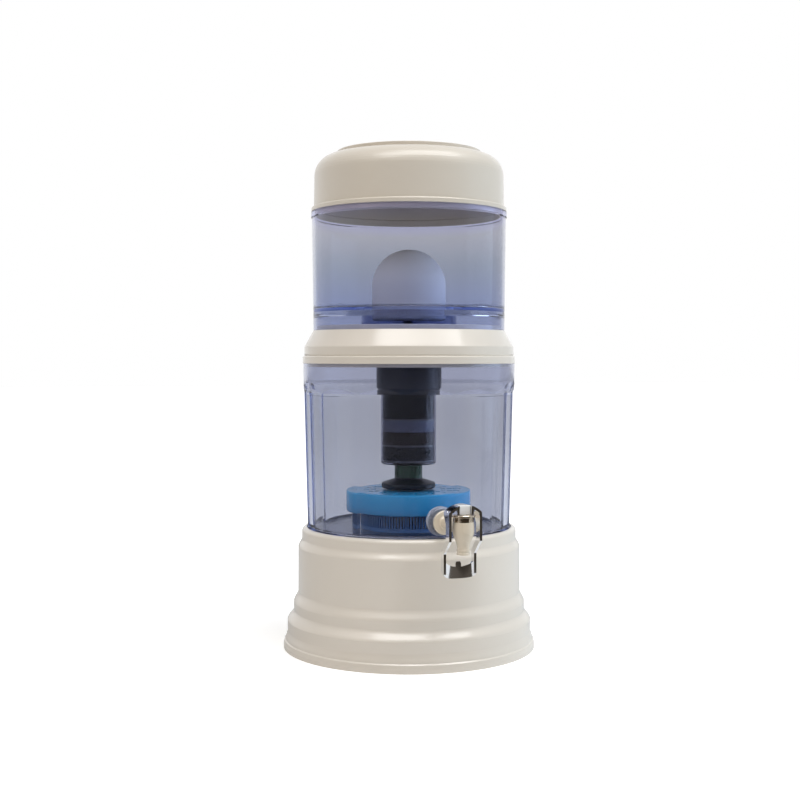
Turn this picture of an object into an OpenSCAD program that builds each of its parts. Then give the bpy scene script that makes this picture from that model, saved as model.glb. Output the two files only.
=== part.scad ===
// Gravity water filter: two stacked tanks on a stepped stand, a ceramic dome and a layered
// cartridge between them, a mineral case on the lower floor and a push-lever tap.
// Origin: centre of the stand's foot. +Z is up, the tap points along -Y. Millimetres.

/* [Stand] */
// Height of the stand from its foot to the rim of its collar
stand_h = 134; // [120:1:150]
// Depth of the pocket in the collar that holds the lower tank
pocket_d = 10; // [8:0.5:14]
// Radial gap between the lower tank and the collar
pocket_gap = 0.5; // [0.3:0.1:1]
// Width of the collar at its top, from the pocket to its outer face
collar_w = 5.4; // [5:0.1:8]
// Radius of the rounding on the collar's outer edge
collar_round = 4.8; // [2:0.1:4.9]
// Wall thickness of the stand
stand_wall = 3; // [2:0.5:4]
// Height at which the first shoulder starts
step1_z = 121; // [112:0.5:126]
// Width of the first shoulder
step1_w = 4.2; // [2:0.1:6]
// Drop of the first shoulder
step1_drop = 8.5; // [5:0.5:10]
// Height at which the second shoulder starts
step2_z = 62; // [58:0.5:72]
// Width of the second shoulder
step2_w = 4.9; // [3:0.1:8]
// Drop of the second shoulder
step2_drop = 11; // [5:0.5:14]
// Height at which the third shoulder starts
step3_z = 41.5; // [37:0.5:47]
// Width of the third shoulder
step3_w = 6.9; // [3:0.1:8]
// Drop of the third shoulder
step3_drop = 10.5; // [5:0.5:14]
// Height at which the flare above the foot band starts
step4_z = 19; // [17:0.5:24]
// Width of the flare above the foot band
step4_w = 2.2; // [1:0.1:5]
// Width of the ledge on top of the foot band
foot_bead = 1.3; // [0.5:0.1:2]
// Height of the foot band below its ledge
foot_bead_h = 8.6; // [4:0.2:10]
// How far the foot band leans out
foot_lean = 0.8; // [0:0.1:2]
// Thickness of the deck under the lower tank
deck_t = 3; // [2:0.5:4]
// Number of stiffening ribs under the deck
deck_ribs = 8; // [4:1:12]
// Height of the ribs under the deck
deck_rib_h = 12; // [6:1:30]

/* [Lower tank] */
// Outer radius of the lower tank at its foot
low_foot_r = 114.2; // [108:0.1:118]
// How much wider the tank is at the shoulder of its panels than at its foot
low_draft = 4.2; // [1:0.1:8]
// How much wider the tank is at its rim than at that shoulder
low_rim_w = 0.6; // [0.3:0.1:4]
// Height of the lower tank
low_h = 192.4; // [150:0.2:220]
// Height of the smooth band between the rim and the panels
low_band_h = 32; // [20:0.5:45]
// Number of flat panels round the lower tank
panel_count = 14; // [10:1:18]
// Angle from the tap to the nearest rib between two panels on its left
panel_turn = 20; // [0:0.1:25]
// Height over which a panel's arched top runs out into the band
panel_runout = 7; // [4:0.5:12]
// Thinnest wall of the lower tank, in the middle of a panel
low_wall = 3.9; // [2.4:0.1:4.5]
// Height of the tank's floor above its foot
low_foot_h = 6; // [4:0.5:9]
// Thickness of the floor
low_floor_t = 3; // [2:0.2:4]
// Corner radius between wall and floor inside the tank
low_corner = 5; // [2:0.5:8]

/* [Middle cover] */
// Height of the cover from the lower tank's rim to the seat of the upper tank
cover_h = 36.9; // [30:0.1:50]
// How far the cover's lip stands out over the lower tank's rim
cover_lip_over = 0.5; // [0.3:0.1:3]
// Height of the lip
cover_lip_h = 8.4; // [5:0.1:12]
// How far the band above the lip stands back from it
cover_band_inset = 1.7; // [1:0.1:4]
// Height of the band above the lip
cover_band_h = 10; // [6:0.1:14]
// Width of the slope between the band and the upper tank
cover_slope_w = 10.2; // [5:0.1:14]
// Wall thickness of the cover
cover_wall = 2.8; // [2:0.1:3.5]
// Depth of the spigot inside the lower tank
cover_spigot_d = 3.6; // [2:0.1:8]
// Height of the upstand that locates the upper tank
cover_upstand_h = 5.2; // [3:0.1:9]
// Radial gap between the cover's hole and the cartridge's cap
cover_hole_gap = 3.3; // [1.5:0.1:8]
// Height of the drip rim round that hole
cover_hole_rim = 4; // [2:0.5:8]

/* [Upper tank] */
// How much wider the upper tank is under its rim than at its foot
up_draft = 1.7; // [0.5:0.1:5]
// Height of the upper tank
up_h = 132.9; // [110:0.1:180]
// Wall thickness of the upper tank
up_wall = 3; // [2.4:0.1:3.6]
// Width that the rim stands out from the wall
up_rim_w = 1; // [0.5:0.1:2.5]
// Height of the rim
up_rim_h = 6.2; // [4:0.1:9]
// Height of the floor's underside above the foot
up_floor_h = 20.7; // [16:0.1:30]
// Thickness of the floor
up_floor_t = 3; // [2:0.1:4]
// Outer radius of the well in the middle of the floor
well_r = 53.7; // [48:0.1:64]
// Depth of the well below the floor
well_d = 14; // [8:0.5:15]
// Width of the thick corner under the floor
up_corner = 6.6; // [3:0.1:9]

/* [Lid] */
// Height of the lid
lid_h = 68.3; // [50:0.1:90]
// How far the lid's lip stands back from the upper tank's rim
lid_lip_back = 0.4; // [0:0.1:2]
// How far the lid's side stands back from its lip
lid_side_back = 2.7; // [1:0.1:5]
// Height of the lid's lip
lid_lip_h = 5; // [3:0.1:8]
// How much narrower the lid's side is at its top than at its foot
lid_draft = 0.6; // [0:0.1:2]
// Radius of the rounding between the lid's side and its top
lid_round = 23.1; // [15:0.1:30]
// Width of the flat between that rounding and the raised disc
lid_flat_w = 2; // [1:0.1:20]
// Height of the raised disc
lid_disc_h = 4.5; // [1.5:0.1:6]
// Wall thickness of the lid
lid_wall = 2.6; // [2:0.1:3.5]
// Depth of the spigot inside the upper tank
lid_spigot_d = 5; // [3:0.1:10]

/* [Seating] */
// Radial gap between a spigot and the rim it locates in
spigot_gap = 0.3; // [0.2:0.05:0.6]

/* [Ceramic dome] */
// Outer radius of the ceramic dome
dome_r = 41.6; // [35:0.1:46]
// Height of the ceramic dome with its base
dome_h = 79.8; // [70:0.1:100]
// Wall thickness of the ceramic
dome_wall = 7; // [5:0.5:10]
// Height of the plastic base under the ceramic
dome_base_h = 6; // [4:0.5:10]
// Thickness of the washer under the dome's base
washer_t = 2; // [1:0.1:3]
// Radius of that washer
washer_r = 18; // [14:0.5:24]
// Radius of the threaded stem under the dome
stem_r = 6; // [5:0.1:8]
// Height of the nut on the stem
nut_h = 8; // [6:0.5:11]
// Radius of the nut across its corners
nut_r = 12; // [10:0.5:16]

/* [Cartridge] */
// Wall thickness of the cartridge's cap
cap_wall = 4.5; // [3:0.1:7]
// Height of the cap from its flat top to the start of its chamfer
cap_h = 54; // [45:0.5:60]
// Height of the chamfer below the cap
cap_chamfer_h = 6; // [3:0.5:9]
// Height of the threaded boss on the cap
cap_boss_h = 11; // [8:0.5:14]
// Thickness of the seal on the cap's boss
cap_seal_t = 1.6; // [1:0.1:3]
// Outer radius of the cartridge's housing
housing_r = 31.9; // [28:0.1:33]
// Wall thickness of the housing
housing_wall = 2; // [1.5:0.1:3]
// Thickness of each felt pad
pad_t = 2.2; // [1.5:0.1:4]
// Height of the layer of ceramic balls at the bottom
balls_layer_h = 15; // [10:0.5:20]
// Height of the mineral sand layer
sand_layer_h = 14.4; // [8:0.1:20]
// Height of the silica layer
silica_layer_h = 12.4; // [8:0.1:20]
// Radius of the outlet neck under the housing
neck_r = 13.3; // [10:0.1:18]
// Height of the outlet neck
neck_h = 15.5; // [10:0.5:25]
// Bore radius of the outlet neck
neck_bore_r = 5; // [3:0.1:8]
// Radius of the diffuser cone
cone_r = 30.8; // [25:0.1:38]
// Height of the diffuser cone
cone_h = 11.7; // [9:0.1:16]
// Height of the upright rim of the diffuser cone
cone_rim_h = 5; // [2:0.1:7]
// Gap between the diffuser cone and the mineral case
cone_gap = 2.1; // [1:0.1:6]

/* [Mineral case] */
// Outer radius of the case's body
case_r = 59.4; // [50:0.1:62]
// Height of the case from the floor to the top of its lid
case_h = 41.5; // [34:0.5:50]
// Wall thickness of the case's body
case_wall = 2; // [1.5:0.1:3]
// Number of slots round the case's body
case_slots = 108; // [48:1:120]
// Width of each slot
case_slot_w = 1.5; // [1:0.1:1.6]
// How far the case's lid stands out over its body
case_lid_over = 9; // [4:0.1:14]
// Height of the lid's skirt
case_lid_h = 22.7; // [15:0.1:26]
// Wall thickness of the lid
case_lid_wall = 2.4; // [1.8:0.1:3]
// Number of water inlets in the lid
inlet_count = 16; // [8:1:20]
// Radius of the stones in the case
stone_r = 8.5; // [6:0.1:8.8]

/* [Tap] */
// Height of the tap's axis above the lower tank's floor
tap_rise = 18.2; // [17:0.1:40]
// Distance from the tank's boss to the axis of the barrel
tap_reach = 57; // [45:0.5:75]
// Width of the tank's boss outside the nut
boss_over = 0.4; // [0.2:0.1:2]
// Radius of the tap's flange
flange_r = 12.6; // [11:0.1:15]
// Thickness of the tap's flange
flange_t = 3; // [2:0.1:5]
// Thickness of the tap's gaskets
gasket_t = 1.5; // [1:0.1:2.5]
// Radius of the threaded shank through the tank's wall
shank_r = 8; // [7:0.1:9]
// Radius of the arm between flange and barrel
arm_r = 5.8; // [5:0.1:6]
// Radius of the waterway through shank and arm
waterway_r = 3.6; // [2.5:0.1:4]
// Thickness of the nut inside the tank
tap_nut_t = 7; // [5:0.5:10]
// Radius of the washer face of the nut inside the tank
tap_nut_r = 15.6; // [13:0.1:17]
// Outer radius of the barrel at its belly
barrel_r = 11; // [10.4:0.1:12]
// Outer radius of the barrel under the bonnet
barrel_neck_r = 10.5; // [10:0.1:10.9]
// Height of the barrel above the tap's axis
barrel_top = 7.7; // [6:0.1:9]
// Radius of the valve chamber
chamber_r = 8; // [7.6:0.1:8.4]
// Depth of the valve chamber below the tap's axis
chamber_d = 5; // [4:0.1:6]
// Outer radius of the spout
spout_r = 6.3; // [5.8:0.1:7.5]
// Depth of the spout's mouth below the tap's axis
spout_d = 25.3; // [23:0.1:32]
// Bore radius of the spout
spout_bore_r = 4.4; // [3.5:0.1:4.8]
// Height of the bonnet on the barrel
bonnet_h = 7.1; // [6.5:0.1:10]
// Radius of the bonnet's rim
bonnet_rim_r = 12.2; // [11.4:0.1:13]
// Height of the bonnet's rim
bonnet_rim_h = 2.1; // [1.5:0.1:3]
// Radius of the plunger's stem
plunger_r = 3; // [2.5:0.1:3.4]
// Radial clearance of the plunger and of the hinge pin in their holes
running_gap = 0.05; // [0.02:0.01:0.1]
// Travel of the plunger when the lever is pushed
plunger_travel = 2; // [1:0.1:2.5]
// Width of the plunger's head
head_w = 11.8; // [10:0.1:14]
// Depth of the plunger's head from front to back
head_d = 7.4; // [6.4:0.1:9]
// Height of the plunger's head
head_h = 9.2; // [7.5:0.1:10]
// Mean radius of the valve spring
spring_r = 5.4; // [4.8:0.1:6.2]
// Radius of the spring's wire
spring_wire_r = 0.45; // [0.3:0.05:0.6]
// Turns of the valve spring
spring_turns = 5; // [3:1:7]

/* [Lever] */
// Outer half width of the lever
lever_hw = 17.6; // [17:0.1:20]
// Thickness of the lever's cheeks and crown
lever_t = 2.6; // [2:0.1:3]
// Distance of the lever's front face in front of the barrel's axis
lever_front = 7; // [6.5:0.1:8.5]
// Depth of the cheeks from front to back
lever_depth = 10; // [8:0.5:12]
// Radius of the crown over the bonnet
crown_r = 24; // [20:0.5:40]
// Thickness of the crown's bar behind the plunger's head
crown_bar = 2.4; // [1.6:0.1:3.5]
// Depth below the tap's axis at which the cheeks bend back
lever_bend_d = 11.2; // [8:0.1:14]
// How far the lower part of the lever lies behind the upper part
lever_setback = 16; // [12:0.5:18]
// Depth below the tap's axis at which the lower part starts
lower_part_d = 25.7; // [24:0.1:30]
// Depth of the lower part from front to back
lower_depth = 7.6; // [6:0.1:9]
// Depth of the paddle's tip below the tap's axis
paddle_tip_d = 51.4; // [48:0.1:60]
// How far the middle of the paddle is dished back
paddle_dish = 5.4; // [4:0.1:7]
// Radius of the hinge pin
pin_r = 1.2; // [0.8:0.1:1.5]

/* [Hidden] */
$fn = 96;
eps = 0.01;
far = 400;
shoulder_ease = 0.55;

cream = "#e6dfd3";
tint = "#8f97cc66";
smoke = "#20263ccc";

// Heights of the stack
deck_z = stand_h - pocket_d;
low_floor_z = deck_z + low_foot_h + low_floor_t;
low_top_z = deck_z + low_h;
shoulder_z = low_top_z - low_band_h;
seat_z = low_top_z + cover_h;
up_floor_z = seat_z + up_floor_h;
well_z = up_floor_z - well_d;
up_top_z = seat_z + up_h;
case_top_z = low_floor_z + case_h;

// Radii of the lower tank: ribs between panels, flats of the panels, inside
rib_sharpness = 0.35;
function low_rib_r(z) = low_foot_r + low_draft * (z - deck_z) / (shoulder_z - deck_z);
function low_flat_r(z) = (low_rib_r(z) + rib_sharpness) * cos(180 / panel_count);
function low_in_r(z) = low_flat_r(z) - low_wall;
low_rim_r = low_foot_r + low_draft + low_rim_w;
low_rim_in_r = low_rim_r - low_wall + 0.2;
band_z = shoulder_z + 1.6;
band_step = 0.2;

// Small ledge inside the lower tank, with a taper from it up to the rim's bore
rim_lead = 0.3;
ledge_w = 0.4;
ledge_z = shoulder_z - 3;
ledge_run = 15;

// Radii of the cover, the upper tank and the lid follow from the lower tank's rim
cover_lip_r = low_rim_r + cover_lip_over;
cover_band_r = cover_lip_r - cover_band_inset;
up_foot_r = cover_band_r - cover_slope_w;
up_top_r = up_foot_r + up_draft;
up_rim_r = up_top_r + up_rim_w;
lid_lip_r = up_rim_r - lid_lip_back;
lid_r = lid_lip_r - lid_side_back;
lid_disc_r = lid_r - lid_draft - lid_round - lid_flat_w;

// Radii of the stand, from the collar down
pocket_r = low_rib_r(stand_h) + pocket_gap;
collar_r = pocket_r + collar_w;

// Cartridge, hung from the well's floor and ending just above the mineral case
stem_nut_z = well_z - nut_h;
boss_top_z = stem_nut_z - cap_seal_t;
cap_top_z = boss_top_z - cap_boss_h;
cap_edge_z = cap_top_z - cap_h;
cap_plate_t = 3;
cap_bore_r = housing_r + 0.3;
cap_r = cap_bore_r + cap_wall;
cap_rib_h = 0.6;
cover_hole_r = cap_r + cover_hole_gap;
case_lid_r = case_r + case_lid_over;
cone_z = case_top_z + cone_gap;
neck_z = cone_z + cone_h;
housing_z = neck_z + neck_h;
housing_top_gap = 5;
housing_top_z = cap_top_z - cap_plate_t - housing_top_gap;
housing_floor_z = housing_z + 2.6;
media_r = housing_r - housing_wall - 0.2;
balls_z = housing_floor_z + pad_t;
sand_z = balls_z + balls_layer_h + pad_t;
silica_z = sand_z + sand_layer_h;
carbon_z = silica_z + silica_layer_h + pad_t;
carbon_top_z = housing_top_z - 2 * pad_t;

// Dome
dome_z = well_z + up_floor_t + washer_t;
dome_centre_z = dome_z + dome_h - dome_r;
stem_hole_r = stem_r + 0.3;

// Tap
tap_z = low_floor_z + tap_rise;
boss_r = tap_nut_r + boss_over;
boss_y = low_rib_r(tap_z + boss_r) + 0.1;
boss_in_y = sqrt(pow(low_in_r(tap_z - boss_r), 2) - boss_r * boss_r) - 0.4;
shank_hole_r = shank_r + 0.2;
barrel_y = boss_y + tap_reach;
bonnet_top = barrel_top + bonnet_h;
bonnet_plate_t = 2;
bonnet_dish = 2;
bonnet_under = bonnet_top - bonnet_dish - bonnet_plate_t;
cup_z = -chamber_d + 0.1;
cup_h = 4;
collar_t = 1.6;
spring_z = cup_z + cup_h + collar_t;
lever_foot_gap = 0.3;
head_gap = 0.4;
pin_h = bonnet_top + 4;
head_z = bonnet_top + head_gap;
head_top = head_z + head_h;
crown_top = head_top + 0.6;
crown_z = crown_top - crown_r;
crown_side_z = crown_z + sqrt(crown_r * crown_r - lever_hw * lever_hw);
tilt_room = 2.8;
crown_back = head_d / 2 + tilt_room + crown_bar;

function arc(cx, cy, r, a0, a1, n = 8) =
    [for (i = [0 : n]) [cx + r * cos(a0 + (a1 - a0) * i / n), cy + r * sin(a0 + (a1 - a0) * i / n)]];

// A shoulder from (r, z) to w further out and drop lower: a slope with an eased edge at each end
function shoulder(r, z, w, drop, n = 8) =
    [for (i = [0 : n]) [r + w * (shoulder_ease * (1 - cos(180 * i / n)) / 2
        + (1 - shoulder_ease) * i / n), z - drop * i / n]];

module spin(points) {
    rotate_extrude()
        polygon(points);
}

// Solid of revolution round an axis that points along -Y
module tap_axis(x = 0, y = 0, z = 0) {
    translate([x, -y, z])
        rotate([90, 0, 0])
            children();
}

// ---------- Stand ----------

step1_r = collar_r + step1_w;
step2_r = step1_r + step2_w;
step3_r = step2_r + step3_w;
step4_r = step3_r + step4_w;
foot_band_r = step4_r + foot_bead;
foot_r = foot_band_r + foot_lean;
foot_top_z = foot_bead_h + foot_bead;

function stand_side(inset) = concat(
    shoulder(collar_r - inset, step1_z, step1_w, step1_drop),
    shoulder(step1_r - inset, step2_z, step2_w, step2_drop),
    shoulder(step2_r - inset, step3_z, step3_w, step3_drop),
    shoulder(step3_r - inset, step4_z, step4_w, step4_z - foot_top_z));

module base_stand() {
    color(cream)
    difference() {
        union() {
            difference() {
                spin(concat(
                    [[0, 0], [0, stand_h], [collar_r - collar_round, stand_h]],
                    arc(collar_r - collar_round, stand_h - collar_round, collar_round, 90, 0),
                    stand_side(0),
                    [[foot_band_r, foot_bead_h], [foot_r, foot_bead_h / 2], [foot_r, 0]]));
                spin(concat(
                    [[0, -eps], [0, deck_z - deck_t], [pocket_r, deck_z - deck_t]],
                    stand_side(stand_wall),
                    [[foot_r - stand_wall, foot_bead_h / 2], [foot_r - stand_wall, -eps]]));
            }
            intersection() {
                for (i = [0 : deck_ribs - 1])
                    rotate([0, 0, i * 360 / deck_ribs])
                        translate([20, -1.2, deck_z - deck_t - deck_rib_h])
                            cube([step1_r, 2.4, deck_rib_h + eps]);
                spin(concat([[0, 0], [0, deck_z]], [[collar_r - 1, deck_z]], stand_side(1),
                    [[step4_r - 1, 0]]));
            }
        }
        translate([0, 0, deck_z])
            cylinder(h = far, r = pocket_r);
    }
}

// ---------- Lower tank and mineral case ----------

// Cutter for one panel: a flat that leans with the wall and runs out in an arch at its top
module panel_cutter() {
    flat_r = low_flat_r(shoulder_z);
    runout_w = low_rim_r - flat_r + 1;
    panel_w = 3.4 * low_rim_r * tan(180 / panel_count);
    under = deck_z - 5;
    rotate([90, 0, 0])
        linear_extrude(height = panel_w, center = true)
            polygon([
                [low_flat_r(under), under],
                [flat_r, shoulder_z],
                [flat_r + runout_w, shoulder_z + panel_runout * runout_w / 4],
                [far, shoulder_z],
                [far, under]]);
}

module lower_tank() {
    color(tint)
    difference() {
        union() {
            difference() {
                spin([
                    [0, deck_z], [low_rib_r(deck_z), deck_z], [low_rib_r(band_z), band_z],
                    [low_rib_r(band_z) + band_step, band_z + band_step * 2],
                    [low_rim_r, low_top_z], [0, low_top_z]]);
                for (i = [0 : panel_count - 1])
                    rotate([0, 0, -90 - panel_turn + (i + 0.5) * 360 / panel_count])
                        panel_cutter();
                spin(concat(
                    [[0, low_floor_z]],
                    arc(low_in_r(low_floor_z) - low_corner, low_floor_z + low_corner, low_corner, -90, 0, 5),
                    [[low_in_r(ledge_z), ledge_z], [low_in_r(ledge_z) + ledge_w, ledge_z + ledge_w],
                        [low_rim_in_r - rim_lead, ledge_z + ledge_run],
                        [low_rim_in_r, low_top_z + eps], [0, low_top_z + eps]]));
            }
            tap_axis(y = boss_in_y, z = tap_z)
                cylinder(h = boss_y - boss_in_y, r = boss_r);
        }
        translate([0, 0, deck_z - eps])
            cylinder(h = low_foot_h, r = low_in_r(deck_z));
        tap_axis(y = 0, z = tap_z)
            cylinder(h = far, r = shank_hole_r);
    }
}

case_body_top = case_top_z - case_lid_wall - 0.5;
slot_z = low_floor_z + 4;
slot_h = case_top_z - case_lid_h - slot_z - 1.5;
stone_gap = 0.3;

module mineral_case_body() {
    color("#26384f")
    difference() {
        translate([0, 0, low_floor_z])
            cylinder(h = case_body_top - low_floor_z, r = case_r);
        translate([0, 0, low_floor_z + case_wall])
            cylinder(h = far, r = case_r - case_wall);
        for (i = [0 : case_slots - 1])
            rotate([0, 0, i * 360 / case_slots])
                translate([case_r - case_wall - 1, -case_slot_w / 2, slot_z])
                    cube([case_wall + 2, case_slot_w, slot_h]);
    }
}

module mineral_case_lid() {
    lid_z = case_top_z - case_lid_h;
    land = 4;
    inlet_l = 7;
    inlet_w = 4;
    inlet_pitch = 9;
    outer_inlet_r = case_r - inlet_l - 5;
    color("#2f7fb8")
    difference() {
        spin(concat(
            [[case_r + 0.3, lid_z + land], [case_lid_r - case_lid_wall, lid_z + land],
                [case_lid_r - case_lid_wall, lid_z], [case_lid_r - 0.6, lid_z], [case_lid_r, lid_z + 0.8]],
            arc(case_lid_r - 2, case_top_z - 2, 2, 0, 90, 5),
            [[0, case_top_z], [0, case_top_z - case_lid_wall],
                [case_r + 0.3, case_top_z - case_lid_wall]]));
        for (i = [0 : inlet_count - 1])
            rotate([0, 0, (i + 0.5) * 360 / inlet_count])
                for (r = [outer_inlet_r - inlet_pitch, outer_inlet_r])
                    translate([r, -inlet_w / 2, case_top_z - case_lid_wall - 1])
                        cube([inlet_l, inlet_w, far]);
    }
}

// Stones in rings round the middle, in two layers
module mineral_stones() {
    pitch = 2 * stone_r + stone_gap;
    floor_z = low_floor_z + case_wall + stone_r + stone_gap;
    rings = floor((case_r - case_wall - stone_r - stone_gap) / pitch);
    color("#7d6f60")
    for (layer = [0 : 1], ring = [0 : rings])
        let (count = ring == 0 ? 1 : floor(180 / asin(pitch / 2 / (ring * pitch)) + eps))
        for (i = [0 : count - 1])
            rotate([0, 0, i * 360 / count])
                translate([ring * pitch, 0, floor_z + layer * pitch])
                    sphere(r = stone_r);
}

// ---------- Middle cover ----------

module middle_cover() {
    band_r = cover_band_r;
    band_z = low_top_z + cover_lip_h + 1.8;
    cone_start_z = band_z + cover_band_h - 1.8;
    skirt_in_r = up_foot_r - up_wall;
    up_r = skirt_in_r - spigot_gap;
    plate_z = low_top_z + 10.6;
    spigot_r = low_rim_in_r - spigot_gap;
    color(cream)
    spin([
        [spigot_r, low_top_z], [cover_lip_r - 0.6, low_top_z], [cover_lip_r, low_top_z + 0.6],
        [cover_lip_r, low_top_z + cover_lip_h - 0.8], [cover_lip_r - 0.8, low_top_z + cover_lip_h],
        [band_r - 0.5, low_top_z + cover_lip_h + 0.4], [band_r, band_z],
        [band_r, cone_start_z], [band_r - 0.3, cone_start_z + 0.9],
        [up_foot_r + 0.6, seat_z - 1], [up_foot_r + 0.1, seat_z], [up_r, seat_z],
        [up_r, seat_z + cover_upstand_h - 0.6], [up_r - 0.6, seat_z + cover_upstand_h],
        [up_r - cover_wall, seat_z + cover_upstand_h], [up_r - cover_wall, plate_z + cover_wall],
        [cover_hole_r + cover_wall, plate_z + cover_wall],
        [cover_hole_r + cover_wall, plate_z + cover_wall + cover_hole_rim],
        [cover_hole_r, plate_z + cover_wall + cover_hole_rim], [cover_hole_r, plate_z],
        [up_r, plate_z], [up_r, seat_z - cover_wall], [up_foot_r - 1.5, seat_z - cover_wall],
        [band_r - cover_wall, cone_start_z - 0.8], [band_r - cover_wall, low_top_z + 3],
        [spigot_r - cover_wall + 0.3, low_top_z + 2], [spigot_r - cover_wall + 0.3, low_top_z - cover_spigot_d],
        [spigot_r - 0.4, low_top_z - cover_spigot_d], [spigot_r, low_top_z - cover_spigot_d + 0.4]]);
}

// ---------- Upper tank with dome and cartridge ----------

module upper_tank() {
    in_foot_r = up_foot_r - up_wall;
    in_top_r = up_top_r - up_wall;
    floor_top = up_floor_z + up_floor_t;
    corner = 4;
    color(tint)
    spin(concat(
        [[in_foot_r, seat_z], [up_foot_r - 0.4, seat_z], [up_foot_r, seat_z + 0.4],
            [up_top_r, up_top_z - up_rim_h - up_rim_w], [up_rim_r, up_top_z - up_rim_h],
            [up_rim_r, up_top_z - 0.6], [up_rim_r - 0.6, up_top_z],
            [in_top_r, up_top_z]],
        arc(in_foot_r + 0.3 - corner, floor_top + corner, corner, 0, -90, 5),
        [[well_r - up_wall, floor_top], [well_r - up_wall, well_z + up_floor_t],
            [stem_hole_r, well_z + up_floor_t], [stem_hole_r, well_z], [well_r, well_z],
            [well_r, up_floor_z], [in_foot_r - up_corner, up_floor_z],
            [in_foot_r, up_floor_z - up_corner]]));
}

// Straight side and round top of the dome, drawn in from the outside by inset
module dome_form(inset) {
    r = dome_r - inset;
    translate([0, 0, dome_centre_z])
        intersection() {
            sphere(r = r);
            cylinder(h = 2 * dome_r, r = 2 * dome_r);
        }
    translate([0, 0, dome_z + dome_base_h])
        cylinder(h = dome_centre_z - dome_z - dome_base_h, r = r);
}

module ceramic_dome() {
    color("#d9d6d2")
    difference() {
        dome_form(0);
        dome_form(dome_wall);
    }
}

module dome_base() {
    spigot_r = dome_r - dome_wall - 0.2;
    color("#e9e7e2")
    difference() {
        union() {
            spin([[0, dome_z], [dome_r - 1.5, dome_z], [dome_r, dome_z + 1.5],
                [dome_r, dome_z + dome_base_h], [spigot_r, dome_z + dome_base_h],
                [spigot_r, dome_z + dome_base_h + 4], [0, dome_z + dome_base_h + 4]]);
            translate([0, 0, cap_top_z])
                cylinder(h = dome_z - cap_top_z + eps, r = stem_r);
        }
        translate([0, 0, cap_top_z - eps])
            cylinder(h = far, r = stem_r / 2);
    }
}

module dome_washer() {
    color("#f2f2f0")
    difference() {
        translate([0, 0, well_z + up_floor_t])
            cylinder(h = washer_t, r = washer_r);
        cylinder(h = far * 2, r = stem_hole_r);
    }
}

// Nut with six flats and a washer face
module dome_nut() {
    color("#f4f4f2")
    difference() {
        union() {
            translate([0, 0, stem_nut_z])
                cylinder(h = nut_h - 1.5, r = nut_r, $fn = 6);
            translate([0, 0, well_z - 1.5 - eps])
                cylinder(h = 1.5 + eps, r = nut_r + 2);
        }
        cylinder(h = far * 2, r = stem_hole_r);
    }
}

module cartridge_seal() {
    color("#3a3d44")
    difference() {
        translate([0, 0, boss_top_z])
            cylinder(h = cap_seal_t, r = stem_r + 4);
        cylinder(h = far * 2, r = stem_hole_r);
    }
}

module cartridge_cap() {
    chamfer_r = cap_bore_r + 0.6;
    cap_ribs = 24;
    color(smoke)
    difference() {
        union() {
            spin([[0, cap_edge_z - cap_chamfer_h], [chamfer_r, cap_edge_z - cap_chamfer_h],
                [cap_r, cap_edge_z], [cap_r, cap_top_z - 3], [cap_r - 3, cap_top_z], [0, cap_top_z]]);
            translate([0, 0, cap_top_z - eps])
                cylinder(h = cap_boss_h + eps, r = stem_r + 5);
            for (i = [0 : cap_ribs - 1])
                rotate([0, 0, i * 360 / cap_ribs])
                    translate([cap_r - 1, -1, cap_top_z - cap_h * 0.45])
                        cube([1 + cap_rib_h, 2, cap_h * 0.35]);
        }
        translate([0, 0, cap_edge_z - cap_chamfer_h - eps])
            cylinder(h = cap_h + cap_chamfer_h - cap_plate_t, r = cap_bore_r);
        cylinder(h = far * 2, r = stem_r + 0.1);
    }
}

module cartridge_housing() {
    color(smoke)
    difference() {
        spin([[0, housing_z], [housing_r - 1.2, housing_z], [housing_r, housing_z + 1.2],
            [housing_r, housing_top_z], [0, housing_top_z]]);
        translate([0, 0, housing_floor_z])
            cylinder(h = far, r = housing_r - housing_wall);
        cylinder(h = far, r = neck_bore_r + 0.6);
    }
}

module layer(z, h, shade) {
    color(shade)
    translate([0, 0, z])
        cylinder(h = h, r = media_r);
}

module cartridge_pads() {
    for (z = [housing_floor_z, sand_z - pad_t, carbon_z - pad_t, carbon_top_z])
        layer(z, pad_t, "#c9c7bd");
}

module carbon_layer() {
    layer(carbon_z, carbon_top_z - carbon_z, "#17181a");
}

module silica_layer() {
    layer(silica_z, silica_layer_h, "#8f97a6");
}

module mineral_sand_layer() {
    layer(sand_z, sand_layer_h, "#6b4b3a");
}

module ceramic_ball_layer() {
    layer(balls_z, balls_layer_h, "#2a2c33");
}

module outlet_neck() {
    color("#12301f")
    difference() {
        translate([0, 0, neck_z])
            cylinder(h = neck_h, r = neck_r);
        cylinder(h = far, r = neck_bore_r);
        for (i = [0 : 11])
            rotate([0, 0, i * 30])
                translate([neck_r - 0.8, -0.6, neck_z + 3])
                    cube([2, 1.2, neck_h - 6]);
    }
}

module diffuser_cone() {
    t = 2;
    color("#14181f")
    difference() {
        spin([[0, neck_z], [neck_r, neck_z], [neck_r + 0.4, neck_z - 1.4],
            [cone_r - 0.6, cone_z + cone_rim_h + 0.8], [cone_r, cone_z + cone_rim_h],
            [cone_r, cone_z + 1], [cone_r - 1, cone_z], [0, cone_z]]);
        spin([[0, neck_z - t], [neck_r - 3, neck_z - t], [cone_r - t, cone_z + cone_rim_h - 1.4],
            [cone_r - t, cone_z - eps], [0, cone_z - eps]]);
        cylinder(h = far, r = neck_bore_r);
    }
}

// ---------- Lid ----------

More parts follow.
